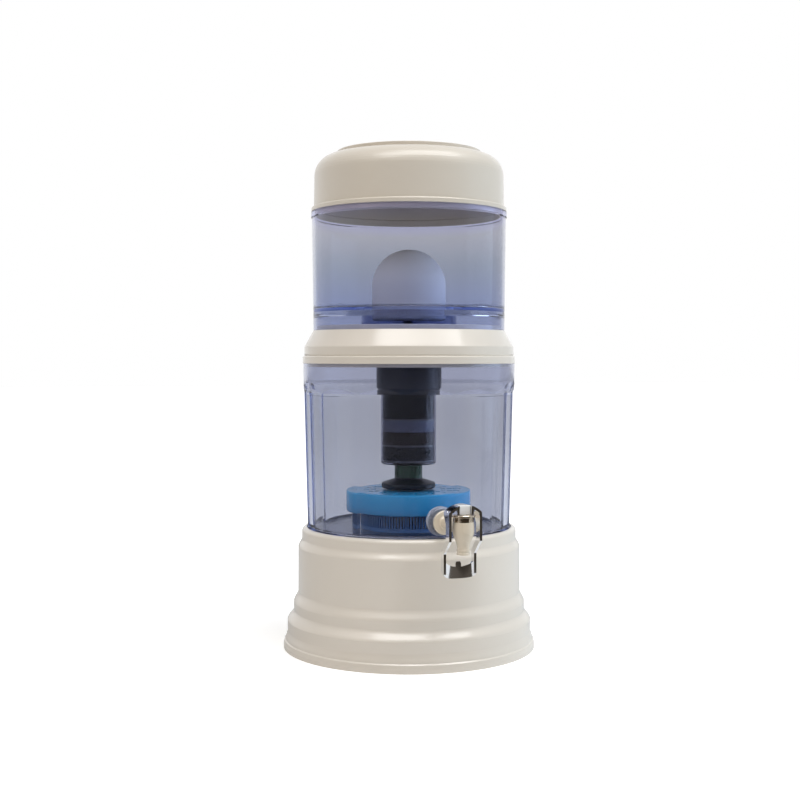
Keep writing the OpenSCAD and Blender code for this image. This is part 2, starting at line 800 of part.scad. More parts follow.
module lid() {
    arc_x = lid_r - lid_draft - lid_round;
    edge = 0.8;
    top_z = up_top_z + lid_h;
    rim_z = top_z - lid_disc_h;
    spigot_r = up_top_r - up_wall - spigot_gap;
    color(cream)
    spin(concat(
        [[spigot_r, up_top_z], [lid_lip_r - 0.5, up_top_z], [lid_lip_r, up_top_z + 0.5],
            [lid_lip_r, up_top_z + lid_lip_h - 0.8], [lid_lip_r - 0.8, up_top_z + lid_lip_h],
            [lid_r + 0.5, up_top_z + lid_lip_h], [lid_r, up_top_z + lid_lip_h + 0.8]],
        arc(arc_x, rim_z - lid_round, lid_round, 0, 90, 12),
        [[lid_disc_r, rim_z], [lid_disc_r, top_z - edge]],
        arc(lid_disc_r - edge, top_z - edge, edge, 0, 90, 4),
        [[0, top_z], [0, top_z - lid_wall], [lid_disc_r - lid_wall, top_z - lid_wall],
            [lid_disc_r - lid_wall, rim_z - lid_wall]],
        arc(arc_x, rim_z - lid_round, lid_round - lid_wall, 90, 0, 12),
        [[lid_r - lid_wall, up_top_z + 3], [spigot_r - lid_wall, up_top_z + 2],
            [spigot_r - lid_wall, up_top_z - lid_spigot_d], [spigot_r - 0.6, up_top_z - lid_spigot_d],
            [spigot_r, up_top_z - lid_spigot_d + 0.6]]));
}

// ---------- Tap ----------

module at_barrel() {
    translate([0, -barrel_y, tap_z])
        children();
}

function taper(r0, z0, r1, z1, n = 8) =
    [for (i = [0 : n]) [r0 + (r1 - r0) * (1 - cos(180 * i / n)) / 2, z0 + (z1 - z0) * i / n]];

module tap_body() {
    bead = 0.4;
    flange_y = boss_y + gasket_t;
    shank_in_y = boss_in_y - gasket_t - tap_nut_t - 2;
    color(cream)
    difference() {
        union() {
            at_barrel()
                spin(concat(
                    [[0, -spout_d], [spout_r + bead, -spout_d], [spout_r + bead, -spout_d + 1.7],
                        [spout_r, -spout_d + 2.1], [spout_r, -spout_d + 3.1],
                        [spout_r + bead, -spout_d + 3.5], [spout_r + bead, -spout_d + 5.3],
                        [spout_r, -spout_d + 5.7]],
                    taper(spout_r, -spout_d + 6.6, barrel_r, -1, 12),
                    [for (i = [1 : 6]) [barrel_neck_r + (barrel_r - barrel_neck_r) * (1 - pow(i / 6, 2)),
                        -1 + (barrel_top + 1) * i / 6]],
                    [[0, barrel_top]]));
            tap_axis(y = flange_y, z = tap_z)
                cylinder(h = barrel_y - flange_y, r = arm_r);
            tap_axis(y = flange_y, z = tap_z)
                spin([[0, 0], [flange_r, 0], [flange_r, flange_t - 1], [flange_r - 1, flange_t],
                    [arm_r + 1.5, flange_t], [arm_r, flange_t + 1.5], [0, flange_t + 1.5]]);
            tap_axis(y = shank_in_y, z = tap_z)
                cylinder(h = flange_y - shank_in_y + eps, r = shank_r);
        }
        at_barrel() {
            translate([0, 0, -chamber_d])
                cylinder(h = far, r = chamber_r);
            translate([0, 0, -spout_d - eps])
                cylinder(h = far, r = spout_bore_r);
        }
        tap_axis(y = shank_in_y - eps, z = tap_z)
            cylinder(h = barrel_y - shank_in_y, r = waterway_r);
    }
}

module gasket(y, r) {
    color("#f5f5f3")
    tap_axis(y = y, z = tap_z)
        difference() {
            cylinder(h = gasket_t, r = r);
            translate([0, 0, -eps])
                cylinder(h = gasket_t + 2 * eps, r = shank_hole_r);
        }
}

module tap_outer_gasket() {
    gasket(boss_y, flange_r - 0.5);
}

module tap_inner_gasket() {
    gasket(boss_in_y - gasket_t, boss_r - 3);
}

module tap_nut() {
    color("#f5f5f3")
    tap_axis(y = boss_in_y - gasket_t - tap_nut_t, z = tap_z)
        difference() {
            union() {
                cylinder(h = tap_nut_t - 2, r = tap_nut_r - 1.2, $fn = 8);
                translate([0, 0, tap_nut_t - 2 - eps])
                    cylinder(h = 2 + eps, r = tap_nut_r);
            }
            translate([0, 0, -eps])
                cylinder(h = far, r = shank_hole_r);
        }
}

// Screw cap on the barrel: ribbed side, flared rim, dished top, guide for the plunger's stem
module tap_bonnet() {
    thread_r = chamber_r - 0.05;
    rim_in_r = bonnet_rim_r - 3.2;
    rim_z = bonnet_top - bonnet_rim_h;
    color("silver")
    at_barrel()
        difference() {
            spin([[plunger_r + running_gap, bonnet_under], [spring_r + 1.2, bonnet_under],
                [spring_r + 1.2, barrel_top - 3], [thread_r, barrel_top - 3], [thread_r, barrel_top],
                [barrel_neck_r, barrel_top], [barrel_neck_r, rim_z - 0.5], [bonnet_rim_r - 0.4, rim_z],
                [bonnet_rim_r, rim_z + 0.4], [bonnet_rim_r, bonnet_top - 0.5],
                [bonnet_rim_r - 0.5, bonnet_top], [rim_in_r, bonnet_top],
                [rim_in_r - 0.6, bonnet_top - bonnet_dish],
                [plunger_r + running_gap, bonnet_top - bonnet_dish]]);
            for (i = [0 : 35])
                rotate([0, 0, i * 10])
                    translate([barrel_neck_r - 0.25, -0.3, barrel_top + 0.8])
                        cube([1, 0.6, rim_z - barrel_top - 1.9]);
        }
}

// Stem with the spring's collar at its foot and a rounded block for the hinge pin at its head
module plunger() {
    edge = 1.2;
    color("white")
    at_barrel()
        difference() {
            union() {
                translate([0, 0, cup_z + 1.6])
                    cylinder(h = head_z - cup_z, r = plunger_r);
                translate([0, 0, cup_z + cup_h])
                    cylinder(h = collar_t, r = spring_r + 0.9);
                translate([-head_w / 2, 0, 0])
                    rotate([90, 0, 90])
                        linear_extrude(height = head_w)
                            polygon(concat(
                                [[-head_d / 2, head_z], [head_d / 2, head_z]],
                                arc(head_d / 2 - edge, head_top - edge, edge, 0, 90, 5),
                                arc(edge - head_d / 2, head_top - edge, edge, 90, 180, 5)));
            }
            translate([-head_w, 0, pin_h])
                rotate([0, 90, 0])
                    cylinder(h = 2 * head_w, r = pin_r + running_gap);
        }
}

module seat_cup() {
    lip_r = spout_bore_r + 2.6;
    color("#e4e4e0")
    at_barrel()
        difference() {
            spin([[0, cup_z], [lip_r - 0.5, cup_z], [lip_r, cup_z + 0.5], [lip_r, cup_z + 1.6],
                [plunger_r + 2, cup_z + cup_h], [0, cup_z + cup_h]]);
            translate([0, 0, cup_z + 1.5])
                cylinder(h = far, r = plunger_r + 0.1);
        }
}

// Coil spring: a round wire swept along a helix
module valve_spring() {
    sides = 8;
    per_turn = 16;
    rings = spring_turns * per_turn;
    low = spring_z + spring_wire_r + 0.05;
    high = bonnet_under - spring_wire_r - 0.05;
    points = [for (i = [0 : rings], j = [0 : sides - 1])
        let (a = 360 * i / per_turn, b = 360 * j / sides, r = spring_r + spring_wire_r * cos(b))
        [r * cos(a), r * sin(a), low + (high - low) * i / rings + spring_wire_r * sin(b)]];
    walls = [for (i = [0 : rings - 1], j = [0 : sides - 1])
        let (k = (j + 1) % sides)
        [i * sides + j, i * sides + k, (i + 1) * sides + k, (i + 1) * sides + j]];
    start = [for (j = [sides - 1 : -1 : 0]) j];
    end = [for (j = [0 : sides - 1]) rings * sides + j];
    color("lightgray")
    at_barrel()
        polyhedron(points = points, faces = concat([start], walls, [end]), convexity = 10);
}

// ---------- Lever ----------

// Front view of the crown: an arc r between its ends at x = -w and x = w
function crown_arc(r, w, n = 20) =
    [for (i = [0 : n])
        let (x = w - 2 * w * i / n)
        [x, crown_z + sqrt(r * r - x * x)]];

// Extrudes a front view (x, z) from y0 towards the tank
module front_extrude(y0, depth) {
    translate([0, y0 + depth, 0])
        rotate([90, 0, 0])
            linear_extrude(height = depth)
                children();
}

lower_front = lever_setback - lever_front;
cheek_in = lever_hw - lever_t;

// Side view of one cheek, y towards the tank and z up
module cheek() {
    back = lever_depth - lever_front;
    low_back = lower_front + lower_depth;
    translate([lever_hw - lever_t, 0, 0])
        rotate([90, 0, 90])
            linear_extrude(height = lever_t)
                polygon([[-lever_front, crown_side_z - 0.4], [-lever_front, -lever_bend_d],
                    [lower_front, -lower_part_d], [lower_front, 5.4 - paddle_tip_d],
                    [lower_front + 2, 3.8 - paddle_tip_d],
                    [low_back, 8 - paddle_tip_d], [low_back, 2.4 - lower_part_d],
                    [back, 1.6 - lever_bend_d], [back, crown_side_z - 12],
                    [crown_back, crown_side_z - 3], [crown_back, crown_side_z - 0.4]]);
}

// Paddle between the cheeks: a dished strip, low in the middle, with a round-topped tab
module paddle() {
    half_w = lever_hw - 0.3;
    dish_r = (half_w * half_w + paddle_dish * paddle_dish) / (2 * paddle_dish);
    tip_h = 6;
    tab_r = 3;
    tab_top = 33.8;
    hollow_d = 39.8;
    rise = 5.6;
    hollow_r = (cheek_in * cheek_in + rise * rise) / (2 * rise);
    intersection() {
        translate([0, lower_front + paddle_dish - dish_r, -paddle_tip_d])
            difference() {
                cylinder(h = paddle_tip_d - lower_part_d, r = dish_r + lever_t);
                translate([0, 0, -1])
                    cylinder(h = far, r = dish_r);
            }
        front_extrude(lower_front, lower_depth + paddle_dish)
            difference() {
                polygon(concat(
                    [for (i = [0 : 20]) let (a = 180 * i / 20)
                        [half_w * sign(cos(a)) * pow(abs(cos(a)), 0.7), tip_h * (1 - pow(sin(a), 0.9))
                            - paddle_tip_d]],
                    [[-half_w, -hollow_d + rise], [half_w, -hollow_d + rise]]));
                difference() {
                    translate([0, hollow_r - hollow_d])
                        circle(r = hollow_r);
                    union() {
                        translate([0, -tab_top - tab_r])
                            circle(r = tab_r);
                        translate([-tab_r, -paddle_tip_d])
                            square([2 * tab_r, paddle_tip_d - tab_top - tab_r]);
                    }
                }
            }
    }
}

module lever() {
    ear_t = 2.5;
    ear_x = head_w / 2 + head_gap;
    foot = bonnet_top + lever_foot_gap;
    toe = 6.5;
    color("silver")
    at_barrel()
        difference() {
            union() {
                difference() {
                    front_extrude(-lever_front, lever_front + crown_back)
                        polygon(concat(crown_arc(crown_r, lever_hw), [[-lever_hw, crown_side_z - 1],
                            [-cheek_in, crown_side_z - 1]],
                            [for (p = crown_arc(crown_r - lever_t, cheek_in)) [-p[0], p[1]]],
                            [[cheek_in, crown_side_z - 1], [lever_hw, crown_side_z - 1]]));
                    translate([-ear_x, -lever_front - 1, pin_h])
                        cube([2 * ear_x, lever_front + 1 + head_d / 2 + tilt_room, far]);
                }
                for (side = [0, 1])
                    mirror([side, 0, 0]) {
                        cheek();
                        translate([ear_x, 0, 0])
                            rotate([90, 0, 90])
                                linear_extrude(height = ear_t)
                                    polygon([[-toe + 0.5, foot], [3.2, foot], [3.8, foot + 0.8],
                                        [3.8, crown_z + crown_r - 1.2 * lever_t],
                                        [-lever_front + 0.6, crown_z + crown_r - 1.2 * lever_t],
                                        [-toe, foot + 0.5]]);
                    }
                paddle();
            }
            translate([-far / 2, 0, pin_h])
                rotate([0, 90, 0])
                    cylinder(h = far, r = pin_r + 0.02);
        }
}

module lever_pin() {
    pin_l = head_w + 5.4;
    color("gainsboro")
    at_barrel()
        translate([-pin_l / 2, 0, pin_h])
            rotate([0, 90, 0])
                cylinder(h = pin_l, r = pin_r);
}

base_stand();
lower_tank();
mineral_case_body();
mineral_case_lid();
mineral_stones();
middle_cover();
upper_tank();
ceramic_dome();
dome_base();
dome_washer();
dome_nut();
cartridge_seal();
cartridge_cap();
cartridge_housing();
cartridge_pads();
carbon_layer();
silica_layer();
mineral_sand_layer();
ceramic_ball_layer();
outlet_neck();
diffuser_cone();
lid();
tap_body();
tap_outer_gasket();
tap_inner_gasket();
tap_nut();
tap_bonnet();
plunger();
seat_cup();
valve_spring();
lever();
lever_pin();
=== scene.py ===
import bpy
import math
import numpy as np
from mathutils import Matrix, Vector


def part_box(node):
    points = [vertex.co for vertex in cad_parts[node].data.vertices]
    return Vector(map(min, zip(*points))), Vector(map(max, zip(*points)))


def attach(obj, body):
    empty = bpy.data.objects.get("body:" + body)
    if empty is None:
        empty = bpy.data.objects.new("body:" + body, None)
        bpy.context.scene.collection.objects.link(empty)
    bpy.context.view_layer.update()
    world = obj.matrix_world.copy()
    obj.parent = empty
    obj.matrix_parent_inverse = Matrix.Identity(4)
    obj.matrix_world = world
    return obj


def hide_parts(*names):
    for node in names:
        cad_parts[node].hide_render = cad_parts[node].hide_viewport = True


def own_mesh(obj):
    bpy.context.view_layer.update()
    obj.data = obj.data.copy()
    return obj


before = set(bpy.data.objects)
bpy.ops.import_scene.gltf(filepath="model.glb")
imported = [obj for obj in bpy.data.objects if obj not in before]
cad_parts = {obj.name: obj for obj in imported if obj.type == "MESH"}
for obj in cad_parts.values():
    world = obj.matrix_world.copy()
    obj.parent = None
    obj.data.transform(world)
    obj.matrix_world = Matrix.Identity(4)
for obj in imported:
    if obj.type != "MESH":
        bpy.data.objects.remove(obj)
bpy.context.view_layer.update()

# ---------------------------------------------------------------------------
# Camera: at the height of the middle cover, a little to the left of the tap,
# level, so that upright edges stay upright. Light may turn many times in the
# walls of the tanks, or their edges would be black.
# ---------------------------------------------------------------------------
camera_turn = 18.4
scene = bpy.context.scene
lens = bpy.data.cameras.new("camera")
lens.lens = 57.15
lens.sensor_width = 36.0
lens.shift_x = -0.01125
lens.shift_y = -0.055
camera = bpy.data.objects.new("camera", lens)
camera.location = (-0.4529, -1.3617, 0.3248)
camera.rotation_euler = (math.radians(90), 0, math.radians(-camera_turn))
scene.collection.objects.link(camera)
scene.camera = camera
scene.view_settings.view_transform = "Standard"
scene.cycles.max_bounces = 24
scene.cycles.glossy_bounces = 16
scene.cycles.transmission_bounces = 24

# ---------------------------------------------------------------------------
# Room: white to the eye and behind the object. Polished metal sees it darker
# towards the camera, as a studio is, with a bright ceiling. Clear plastic sees
# it dark in front and bright behind, and what stands in the tanks gets a fill.
# ---------------------------------------------------------------------------


def put(tree, kind, values=None, **settings):
    """Adds a shader node. values gives its inputs by name or number: a socket of another node is
    linked in, and anything else is set. settings are the node's own."""
    node = tree.nodes.new(kind)
    for name, setting in settings.items():
        setattr(node, name, setting)
    for name, value in (values or {}).items():
        if isinstance(value, bpy.types.NodeSocket):
            tree.links.new(value, node.inputs[name])
        else:
            node.inputs[name].default_value = value
    return node


# Shares of white: what the room throws on the pieces, what clear plastic sees in front of the
# object, and what is added to that for light that comes from a piece in the tanks.
room_light = 0.275
front_light = 0.13
fill_light = 0.64

room = bpy.data.worlds.new("white_room")
scene.world = room
room.use_nodes = True
air = room.node_tree
air.nodes.clear()
seen = put(air, "ShaderNodeLightPath").outputs
way = put(air, "ShaderNodeTexCoord").outputs["Generated"]
heading = put(air, "ShaderNodeSeparateXYZ", {0: way}).outputs
scattered = put(air, "ShaderNodeMath", {0: seen["Diffuse Depth"], 1: 1.0}, operation="MINIMUM")
fill = put(air, "ShaderNodeMath", {0: scattered.outputs[0], 1: fill_light, 2: front_light},
           operation="MULTIPLY_ADD")
through_plastic = put(air, "ShaderNodeMapRange", {
    "Value": heading["Y"], "From Min": -0.90, "From Max": -0.05, "To Min": fill.outputs[0]})
round_about = put(air, "ShaderNodeMapRange", {
    "Value": heading["Y"], "From Min": -0.30, "From Max": 0.80, "To Min": 0.04})
ceiling = put(air, "ShaderNodeMapRange", {"Value": heading["Z"], "From Min": 0.30, "From Max": 0.75})
in_metal = put(air, "ShaderNodeMath", {0: round_about.outputs[0], 1: ceiling.outputs[0]}, operation="MAXIMUM")
bright = put(air, "ShaderNodeMix", {
    "Factor": seen["Is Transmission Ray"], "A": in_metal.outputs[0], "B": through_plastic.outputs[0]})
mirror = put(air, "ShaderNodeMath", {0: seen["Is Glossy Ray"], 1: seen["Is Transmission Ray"]},
             operation="MAXIMUM")
mirrored = put(air, "ShaderNodeMix", {"Factor": mirror.outputs[0], "A": room_light, "B": bright.outputs[0]})
level = put(air, "ShaderNodeMix", {"Factor": seen["Is Camera Ray"], "A": mirrored.outputs[0], "B": 1.0})
back = put(air, "ShaderNodeBackground", {"Color": (1.0, 1.0, 1.0, 1.0), "Strength": level.outputs[0]})
put(air, "ShaderNodeOutputWorld", {"Surface": back.outputs[0]})

# ---------------------------------------------------------------------------
# Lamps: a long soft box above and in front, a small warm one on the left and
# a large cool one on the right. Only the one above shows in polished metal.
# ---------------------------------------------------------------------------


def soft_lamp(name, place, aim, width, height, power, colour=(1, 1, 1)):
    """A rectangular lamp at place, turned to face aim."""
    data = bpy.data.lights.new(name, "AREA")
    data.shape = "RECTANGLE"
    data.size = width
    data.size_y = height
    data.energy = power
    data.color = colour
    lamp = bpy.data.objects.new(name, data)
    lamp.location = place
    lamp.rotation_euler = (Vector(aim) - Vector(place)).to_track_quat("-Z", "Y").to_euler()
    scene.collection.objects.link(lamp)
    return lamp


soft_lamp("lamp_above", place=(0.05, -1.1, 3.1), aim=(0, 0, 0.3), width=4.2, height=1.3, power=75)
left = soft_lamp("lamp_left", place=(-1.9, -0.8, 1.0), aim=(0, 0, 0.4), width=0.9, height=1.4, power=4.2,
                 colour=(1.0, 0.78, 0.50))
right = soft_lamp("lamp_right", place=(2.1, -0.5, 0.4), aim=(0, 0, 0.1), width=1.8, height=1.6, power=26,
                  colour=(0.72, 0.87, 1.0))
left.visible_glossy = False
right.visible_glossy = False

# ---------------------------------------------------------------------------
# Floor: a pale sheet that glows to the eye and through clear plastic, so that
# it meets the white room, and less close to the object, where its shadow lies.
# ---------------------------------------------------------------------------


def flat_sheet(name, corners, faces):
    """A sheet of flat faces between corners."""
    mesh = bpy.data.meshes.new(name)
    mesh.from_pydata(corners, [], faces)
    sheet = bpy.data.objects.new(name, mesh)
    scene.collection.objects.link(sheet)
    return sheet


reach = 12.0
glow_in_plastic = 0.45
floor = flat_sheet("floor", [(-reach, -reach, 0), (reach, -reach, 0), (reach, reach, 0), (-reach, reach, 0)],
                   [(0, 1, 2, 3)])
paint = bpy.data.materials.new("floor_paint")
paint.use_nodes = True
tree = paint.node_tree
ray = put(tree, "ShaderNodeLightPath").outputs
glow = put(tree, "ShaderNodeMath", {
    0: ray["Is Transmission Ray"], 1: glow_in_plastic, 2: ray["Is Camera Ray"]}, operation="MULTIPLY_ADD")
spot = put(tree, "ShaderNodeTexCoord").outputs["Object"]
away = put(tree, "ShaderNodeVectorMath", {0: spot}, operation="LENGTH")
paler = put(tree, "ShaderNodeMapRange", {
    "Value": away.outputs["Value"], "From Min": 0.15, "From Max": 0.9, "To Min": 0.45})
lit = put(tree, "ShaderNodeMath", {0: glow.outputs[0], 1: paler.outputs[0]}, operation="MULTIPLY")
shader = tree.nodes["Principled BSDF"]
shader.inputs["Base Color"].default_value = (0.86, 0.86, 0.86, 1)
shader.inputs["Roughness"].default_value = 0.75
shader.inputs["Specular IOR Level"].default_value = 0.2
shader.inputs["Emission Color"].default_value = (1, 1, 1, 1)
tree.links.new(lit.outputs[0], shader.inputs["Emission Strength"])
floor.data.materials.append(paint)

# ---------------------------------------------------------------------------
# Dark card: what the chromed tap and the front of the tanks mirror. It lies on
# the floor before the tap, stands up between it and the camera, and has low
# wings at both sides. Only mirrors see it.
# ---------------------------------------------------------------------------
card = flat_sheet("card", [
    (-0.22, -0.34, 0.004), (0.46, -0.34, 0.004), (0.62, -0.74, 0.004), (-0.32, -0.74, 0.004),
    (0.66, -0.82, 0.7), (-0.36, -0.82, 0.7),
    (-1.15, -0.75, 0.0), (0.55, -1.32, 0.0), (0.55, -1.32, 0.9), (-1.15, -0.75, 0.9),
    (-1.42, -0.10, 0.0), (-1.42, -0.10, 0.1), (-1.15, -0.75, 0.1), (0.55, -1.32, 0.1),
    (1.15, -0.95, 0.0), (1.15, -0.95, 0.1), (1.45, -0.10, 0.0), (1.45, -0.10, 0.1),
], [(0, 1, 2, 3), (3, 2, 4, 5), (6, 7, 8, 9), (10, 6, 12, 11), (7, 14, 15, 13), (14, 16, 17, 15)])
black = bpy.data.materials.new("black_card")
black.use_nodes = True
shader = black.node_tree.nodes["Principled BSDF"]
shader.inputs["Base Color"].default_value = (0.062, 0.048, 0.034, 1)
shader.inputs["Roughness"].default_value = 0.9
card.data.materials.append(black)
card.visible_camera = False
card.visible_diffuse = False
card.visible_transmission = False
card.visible_shadow = False

# ---------------------------------------------------------------------------
# Stand: one hollow moulding of glossy cream plastic with stepped sides and a
# collar, which the lower tank stands in. It rests on the rim of its foot.
# ---------------------------------------------------------------------------
# A Mix node for colours takes them at inputs 6 and 7 and gives its result at output 2.
first_colour, second_colour, mixed_colour = 6, 7, 2
noise_middle = 0.5
roughness_change = 0.12
grain_depth = 0.0005


def socket(group, name, kind, way, value=None):
    """Adds a named socket to a shader group."""
    made = group.interface.new_socket(name=name, in_out=way, socket_type=kind)
    if value is not None:
        made.default_value = value


def moulded_group():
    """The surface of a moulding: a shade that drifts slowly, patches rubbed to a second colour and
    a rougher face, and a fine grain as Height for a bump."""
    g = bpy.data.node_groups.new("moulded_surface", "ShaderNodeTree")
    socket(g, "Colour", "NodeSocketColor", "INPUT", (0.8, 0.8, 0.8, 1))
    socket(g, "Rubbed Colour", "NodeSocketColor", "INPUT", (0.9, 0.9, 0.9, 1))
    socket(g, "Roughness", "NodeSocketFloat", "INPUT", 0.3)
    socket(g, "Drift", "NodeSocketFloat", "INPUT", 0.06)
    socket(g, "Grain", "NodeSocketFloat", "INPUT", 900.0)
    socket(g, "Colour", "NodeSocketColor", "OUTPUT")
    socket(g, "Roughness", "NodeSocketFloat", "OUTPUT")
    socket(g, "Height", "NodeSocketFloat", "OUTPUT")
    given = put(g, "NodeGroupInput").outputs
    place = put(g, "ShaderNodeTexCoord").outputs["Object"]
    slow = put(g, "ShaderNodeTexNoise", {"Vector": place, "Scale": 9.0, "Detail": 4.0})
    fine = put(g, "ShaderNodeTexNoise", {"Vector": place, "Scale": given["Grain"], "Detail": 2.0})
    rub = put(g, "ShaderNodeTexNoise", {"Vector": place, "Scale": 38.0, "Detail": 6.0, "Roughness": 0.7})
    rubbed = put(g, "ShaderNodeMapRange", {
        "Value": rub.outputs["Fac"], "From Min": 0.55, "From Max": 0.80, "To Max": 0.30})
    swing = put(g, "ShaderNodeMath", {0: slow.outputs["Fac"], 1: noise_middle}, operation="SUBTRACT")
    shade = put(g, "ShaderNodeMath", {0: swing.outputs[0], 1: given["Drift"], 2: 1.0},
                operation="MULTIPLY_ADD")
    tone = put(g, "ShaderNodeMix", {
        "Factor": rubbed.outputs[0], first_colour: given["Colour"], second_colour: given["Rubbed Colour"]},
        data_type="RGBA")
    shaded = put(g, "ShaderNodeVectorMath", {0: tone.outputs[mixed_colour], "Scale": shade.outputs[0]},
                 operation="SCALE")
    worn = put(g, "ShaderNodeMath", {0: rubbed.outputs[0], 1: roughness_change, 2: given["Roughness"]},
               operation="MULTIPLY_ADD")
    rough = put(g, "ShaderNodeMath", {0: swing.outputs[0], 1: roughness_change, 2: worn.outputs[0]},
                operation="MULTIPLY_ADD")
    put(g, "NodeGroupOutput", {
        "Colour": shaded.outputs[0], "Roughness": rough.outputs[0], "Height": fine.outputs["Fac"]})
    return g


moulded = moulded_group()


def surface_of(mat, colour, rubbed, roughness, bump, **changes):
    """Puts the moulded surface in a finish and leads it into its shader, which it returns."""
    tree = mat.node_tree
    shader = tree.nodes["Principled BSDF"]
    face = put(tree, "ShaderNodeGroup", node_tree=moulded)
    face.inputs["Colour"].default_value = (*colour, 1)
    face.inputs["Rubbed Colour"].default_value = (*rubbed, 1)
    face.inputs["Roughness"].default_value = roughness
    for name, value in changes.items():
        face.inputs[name].default_value = value
    relief = put(tree, "ShaderNodeBump", {
        "Strength": bump, "Distance": grain_depth, "Height": face.outputs["Height"]})
    tree.links.new(face.outputs["Colour"], shader.inputs["Base Color"])
    tree.links.new(face.outputs["Roughness"], shader.inputs["Roughness"])
    tree.links.new(relief.outputs["Normal"], shader.inputs["Normal"])
    return shader


def opaque(name, colour, rubbed, roughness, bump=0.02, coat=0.0, drift=0.06, grain=900.0,
           metallic=0.0, coat_roughness=0.12):
    """A finish for plastic, rubber, ceramic or metal that light doesn't pass."""
    mat = bpy.data.materials.new(name)
    mat.use_nodes = True
    shader = surface_of(mat, colour, rubbed, roughness, bump, Drift=drift, Grain=grain)
    shader.inputs["Metallic"].default_value = metallic
    shader.inputs["Coat Weight"].default_value = coat
    shader.inputs["Coat Roughness"].default_value = coat_roughness
    return mat


def dress(mat, *pieces):
    """Gives pieces one finish. A name stands for the CAD node of that name."""
    for piece in pieces:
        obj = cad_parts[piece] if isinstance(piece, str) else piece
        obj.data.materials.clear()
        obj.data.materials.append(mat)


cream = opaque("cream_plastic", (0.76, 0.70, 0.62), (0.79, 0.74, 0.66), 0.30, coat=0.8, coat_roughness=0.16)
dress(cream, "base_stand")

# ---------------------------------------------------------------------------
# Lower tank: clear plastic moulded with a blue-violet tint, a round band over
# flat panels, standing in the stand's collar. It bends light little, as an even
# wall does, and its tint is deepest in the floor and the band.
# ---------------------------------------------------------------------------
lamp_share = 0.1


def clear_plastic(name, wall, roughness=0.03, ior=1.49, depth=None, density=0.0):
    """Clear plastic whose two faces let through the share of light given by wall. depth and density
    tint the light further along its way through. Lamps shine in through it with little of its tint:
    wall to the power of lamp_share."""
    mat = bpy.data.materials.new(name)
    mat.use_nodes = True
    tree = mat.node_tree
    shader = surface_of(mat, wall, wall, roughness, bump=0.01, Drift=0.10)
    shader.inputs["Transmission Weight"].default_value = 1.0
    shader.inputs["IOR"].default_value = ior
    lamp_light = put(tree, "ShaderNodeBsdfTransparent", {"Color": (*(c ** lamp_share for c in wall), 1)})
    path = put(tree, "ShaderNodeLightPath").outputs
    either = put(tree, "ShaderNodeMixShader", {
        0: path["Is Shadow Ray"], 1: shader.outputs[0], 2: lamp_light.outputs[0]})
    end = tree.nodes["Material Output"]
    tree.links.new(either.outputs[0], end.inputs["Surface"])
    if depth:
        inside = put(tree, "ShaderNodeVolumeAbsorption", {"Color": (*depth, 1), "Density": density})
        tree.links.new(inside.outputs[0], end.inputs["Volume"])
    return mat


def tint_by_height(mat, stops, into):
    """Colours a finish by height above the foot, blended between stops of (height, colour), and
    leads it into the named sockets of its moulded surface."""
    tree = mat.node_tree
    place = put(tree, "ShaderNodeTexCoord").outputs["Object"]
    height = put(tree, "ShaderNodeSeparateXYZ", {0: place}).outputs["Z"]
    low, high = stops[0][0], stops[-1][0]
    share = put(tree, "ShaderNodeMapRange", {"Value": height, "From Min": low, "From Max": high})
    tint = put(tree, "ShaderNodeValToRGB", {0: share.outputs[0]})
    any_place = 0.5
    while len(tint.color_ramp.elements) < len(stops):
        tint.color_ramp.elements.new(any_place)
    for stop, (z, colour) in zip(tint.color_ramp.elements, stops):
        stop.position = (z - low) / (high - low)
        stop.color = (*colour, 1)
    for face in [node for node in tree.nodes if node.type == "GROUP"]:
        for name in into:
            tree.links.new(tint.outputs[0], face.inputs[name])


tank = clear_plastic("tank_plastic", (0.74, 0.74, 0.78), ior=1.20, depth=(0.067, 0.217, 0.667), density=11.0)
tint_by_height(tank, [
    (0.124, (0.50, 0.54, 0.70)), (0.134, (0.603, 0.617, 0.673)), (0.232, (0.647, 0.658, 0.710)),
    (0.2835, (0.687, 0.698, 0.759)), (0.2855, (0.577, 0.592, 0.675)), (0.34, (0.577, 0.592, 0.675)),
    (0.352, (0.471, 0.503, 0.641)), (0.387, (0.485, 0.519, 0.642)), (0.428, (0.540, 0.566, 0.630)),
    (0.468, (0.653, 0.653, 0.690)), (0.480, (0.625, 0.628, 0.780)),
], ("Colour", "Rubbed Colour"))
dress(tank, "lower_tank")

# ---------------------------------------------------------------------------
# Mineral case: a slotted navy basket of loose stones on the tank's floor, under
# a blue cap with water inlets. Light and shade are painted into the cap's blue:
# painted shade darkens it at its foot, and a painted highlight pales it towards its upper rim.
# ---------------------------------------------------------------------------


def grains(name, dark, light, size, bump=0.6):
    """Loose grains packed together: cells of the given size in shades from dark to light, with
    hollows half a grain deep between them."""
    mat = bpy.data.materials.new(name)
    mat.use_nodes = True
    tree = mat.node_tree
    shader = tree.nodes["Principled BSDF"]
    place = put(tree, "ShaderNodeTexCoord").outputs["Object"]
    cells = put(tree, "ShaderNodeTexVoronoi", {"Vector": place, "Scale": 1.0 / size})
    pick = put(tree, "ShaderNodeSeparateColor", {0: cells.outputs["Color"]})
    shades = put(tree, "ShaderNodeMix", {
        "Factor": pick.outputs[0], first_colour: (*dark, 1), second_colour: (*light, 1)}, data_type="RGBA")
    relief = put(tree, "ShaderNodeBump", {
        "Strength": bump, "Distance": size * 0.5, "Height": cells.outputs["Distance"]}, invert=True)
    tree.links.new(shades.outputs[mixed_colour], shader.inputs["Base Color"])
    tree.links.new(relief.outputs["Normal"], shader.inputs["Normal"])
    shader.inputs["Roughness"].default_value = 0.8
    return mat


